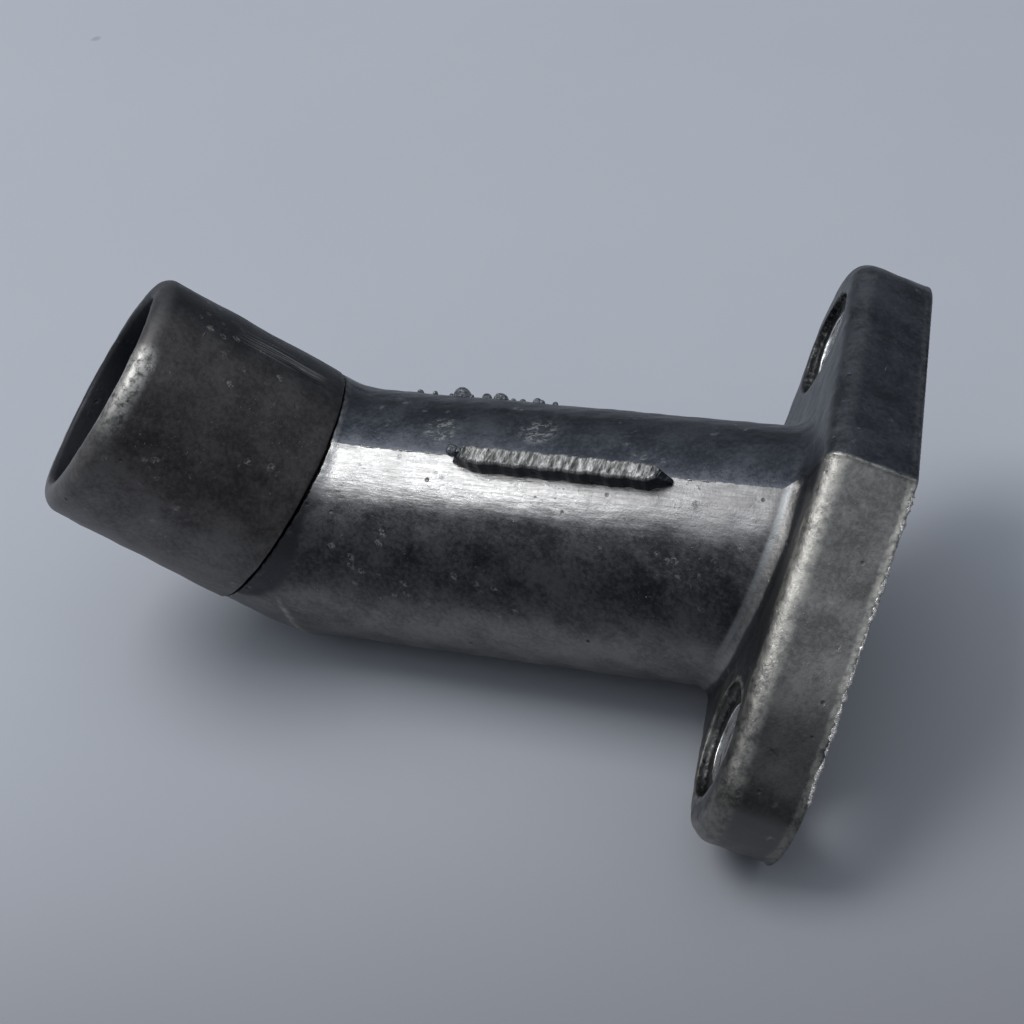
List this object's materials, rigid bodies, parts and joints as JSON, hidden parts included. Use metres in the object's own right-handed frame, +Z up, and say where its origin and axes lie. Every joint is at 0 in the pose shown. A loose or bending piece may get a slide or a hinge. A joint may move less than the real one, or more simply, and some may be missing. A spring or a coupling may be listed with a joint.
{
  "type": "inlet manifold elbow",
  "caption": "Short cast light-alloy inlet elbow: a slanted tube on a thick two-bolt rhombic flange, bent once, ending in a plain round spigot with a rounded lip.",
  "frame": {"origin": "centre of the bottom of the bounding box, the part lying as it rests on a table", "axes": "+Z up; +X from the elbow towards the flange, level; the flange's lower mating edge and the elbow's round outside touch the table"},
  "size_m": [0.0828, 0.056, 0.0362],
  "materials": {
    "cast_body": "as-cast, burnished by handling",
    "cast_spigot": "dull as-cast skin"
  },
  "bodies": {
    "root": {"body_casting": "cast_body", "spigot_sleeve": "cast_spigot"}
  },
  "joints": []
}
